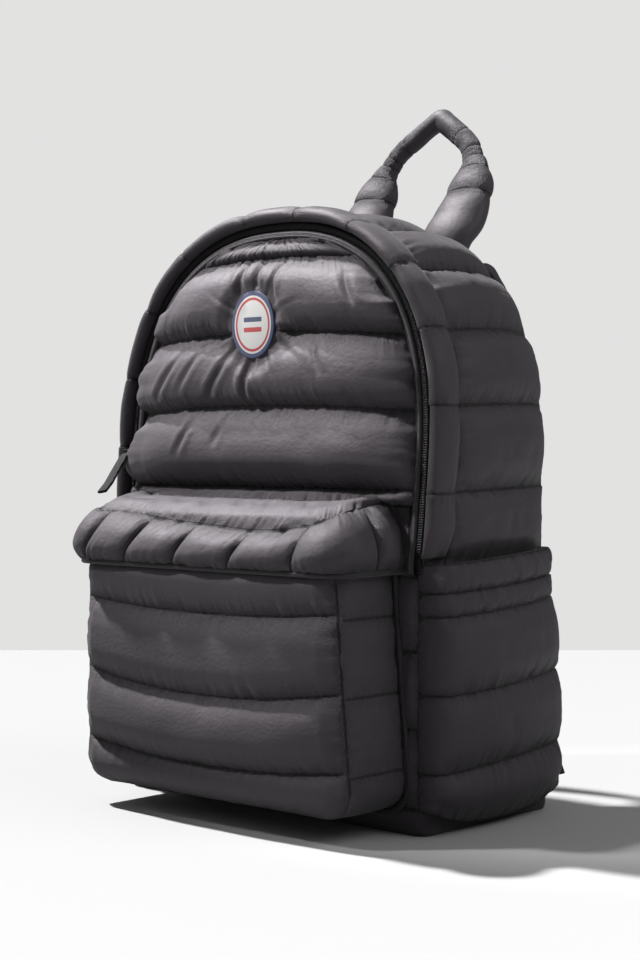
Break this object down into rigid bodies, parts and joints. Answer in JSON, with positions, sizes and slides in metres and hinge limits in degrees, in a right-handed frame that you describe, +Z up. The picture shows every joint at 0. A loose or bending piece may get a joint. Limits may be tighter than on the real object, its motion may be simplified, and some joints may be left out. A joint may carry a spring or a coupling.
{
  "type": "quilted puffer backpack",
  "caption": "Soft quilted backpack with a stuffed rim round its zip, a lidded front pocket, open side pockets, a carry loop and padded shoulder straps.",
  "frame": {"origin": "middle of the base's flat underside, which the bag stands on", "axes": "+Z up, -Y towards the front pocket, +X to the right seen from the front"},
  "size_m": [0.34, 0.2783, 0.508],
  "materials": {
    "quilted_nylon": "satin nylon over wadding, charcoal black",
    "binding": "ribbed binding tape, black",
    "webbing": "woven webbing, black",
    "zip_cloth": "woven zip tape, black",
    "zip_plastic": "nylon coil, black",
    "slider_metal": "black lacquered die casting",
    "buckle_plastic": "moulded, black",
    "patch": "woven patch, white with a navy and red rim"
  },
  "bodies": {
    "root": {"gusset": "quilted_nylon", "rim": "quilted_nylon", "zip_tape": "zip_cloth", "zip_coil": "zip_plastic", "zip_slider": "slider_metal", "zip_pull": "webbing", "front_panel": "quilted_nylon", "badge": "patch", "back_panel": "quilted_nylon", "base": "quilted_nylon", "pocket_gusset": "quilted_nylon", "pocket_front": "quilted_nylon", "pocket_piping": "binding", "pocket_flap": "quilted_nylon", "flap_piping": "binding", "side_pocket_right": "quilted_nylon", "side_pocket_left": "quilted_nylon", "carry_handle": "quilted_nylon", "shoulder_strap_right": "quilted_nylon", "shoulder_strap_left": "quilted_nylon", "strap_buckle_right": "buckle_plastic", "strap_buckle_left": "buckle_plastic", "strap_webbing_right": "webbing", "strap_webbing_left": "webbing", "strap_tab_right": "quilted_nylon", "strap_tab_left": "quilted_nylon"}
  },
  "joints": []
}
